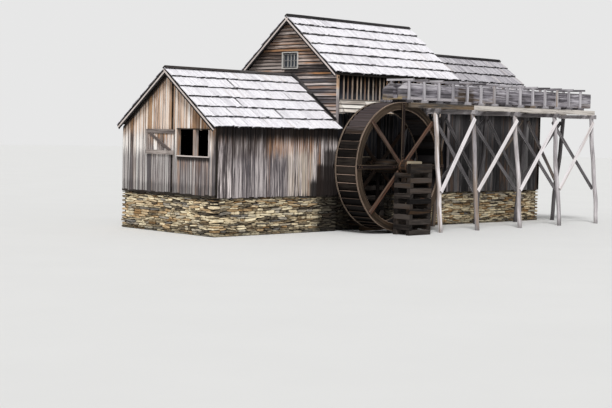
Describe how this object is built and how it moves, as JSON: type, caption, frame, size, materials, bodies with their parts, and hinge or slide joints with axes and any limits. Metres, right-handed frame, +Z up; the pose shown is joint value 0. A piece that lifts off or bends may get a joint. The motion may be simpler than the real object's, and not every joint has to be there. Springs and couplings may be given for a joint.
{
  "type": "overshot watermill",
  "caption": "Boarded timber mill house with a shed and a wing, an overshot water wheel in front and a flume on a timber trestle.",
  "frame": {"origin": "on the underside of the stone base, under the wheel shaft, on the centre-line of the front wall of the mill house", "axes": "+Z up, +X along the ridges from the shed towards the trestle, -Y towards the pond and the wheel"},
  "size_m": [17.731, 7.49, 7.3179],
  "materials": {
    "rubble_stone": "dry-laid rubble stone",
    "wall_boards": "weathered upright boards",
    "house_siding": "weathered lapped boards",
    "roof_shakes": "silvered split shakes",
    "trim_boards": "weathered sawn boards",
    "window_paint": "chalky white paint on wood",
    "window_glass": "old window glass",
    "floor_planks": "rough planks",
    "wheel_timber": "wet dark boards",
    "wheel_rims": "worn ochre planks",
    "wheel_arms": "red-brown timber",
    "shaft_iron": "rusty wrought bands",
    "flume_planks": "silver-grey planks",
    "trestle_timber": "silver-grey posts and braces",
    "crib_timber": "dark damp timber"
  },
  "bodies": {
    "mill": {"shed_foundation": "rubble_stone", "mill_foundation": "rubble_stone", "floors": "floor_planks", "shed_gable_wall": "wall_boards", "shed_front_wall": "wall_boards", "shed_back_wall": "wall_boards", "shed_window_frame": "trim_boards", "shed_shutter": "wall_boards", "mill_left_gable": "house_siding", "mill_right_gable": "house_siding", "mill_front_wall": "wall_boards", "mill_back_wall": "wall_boards", "rear_door": "wall_boards", "attic_window_casing": "window_paint", "attic_window_glass": "window_glass", "mill_corner_boards": "trim_boards", "wing_side_walls": "wall_boards", "wing_gable_wall": "wall_boards", "shed_roof_front": "roof_shakes", "shed_roof_back": "roof_shakes", "mill_roof_front": "roof_shakes", "mill_roof_back": "roof_shakes", "wing_roof_front": "roof_shakes", "wing_roof_back": "roof_shakes", "ridge_caps": "roof_shakes", "barge_boards": "trim_boards", "roof_joint_boards": "trim_boards", "wheel_hood": "trim_boards", "crib_cross_timbers": "crib_timber", "crib_side_timbers": "crib_timber", "bearing_blocks": "crib_timber", "flume_trough": "flume_planks", "flume_spout": "flume_planks", "flume_sleepers": "flume_planks", "flume_uprights": "flume_planks", "flume_ties": "flume_planks", "flume_rails": "flume_planks", "flume_stringers": "trestle_timber", "trestle_caps": "trestle_timber", "trestle_posts": "trestle_timber", "trestle_braces": "trestle_timber"},
    "wheel": {"wheel_rim_front": "wheel_rims", "wheel_rim_rear": "wheel_rims", "wheel_sole": "wheel_timber", "bucket_risers": "wheel_timber", "bucket_lips": "wheel_timber", "wheel_arms": "wheel_arms", "wheel_shaft": "wheel_timber", "shaft_bands": "shaft_iron"}
  },
  "joints": [
    {"name": "wheel_turn", "type": "hinge", "parent": "mill", "child": "wheel", "pos_m": [0, -1.5435, 2.198], "axis": [0, -1, 0], "continuous": true}
  ]
}
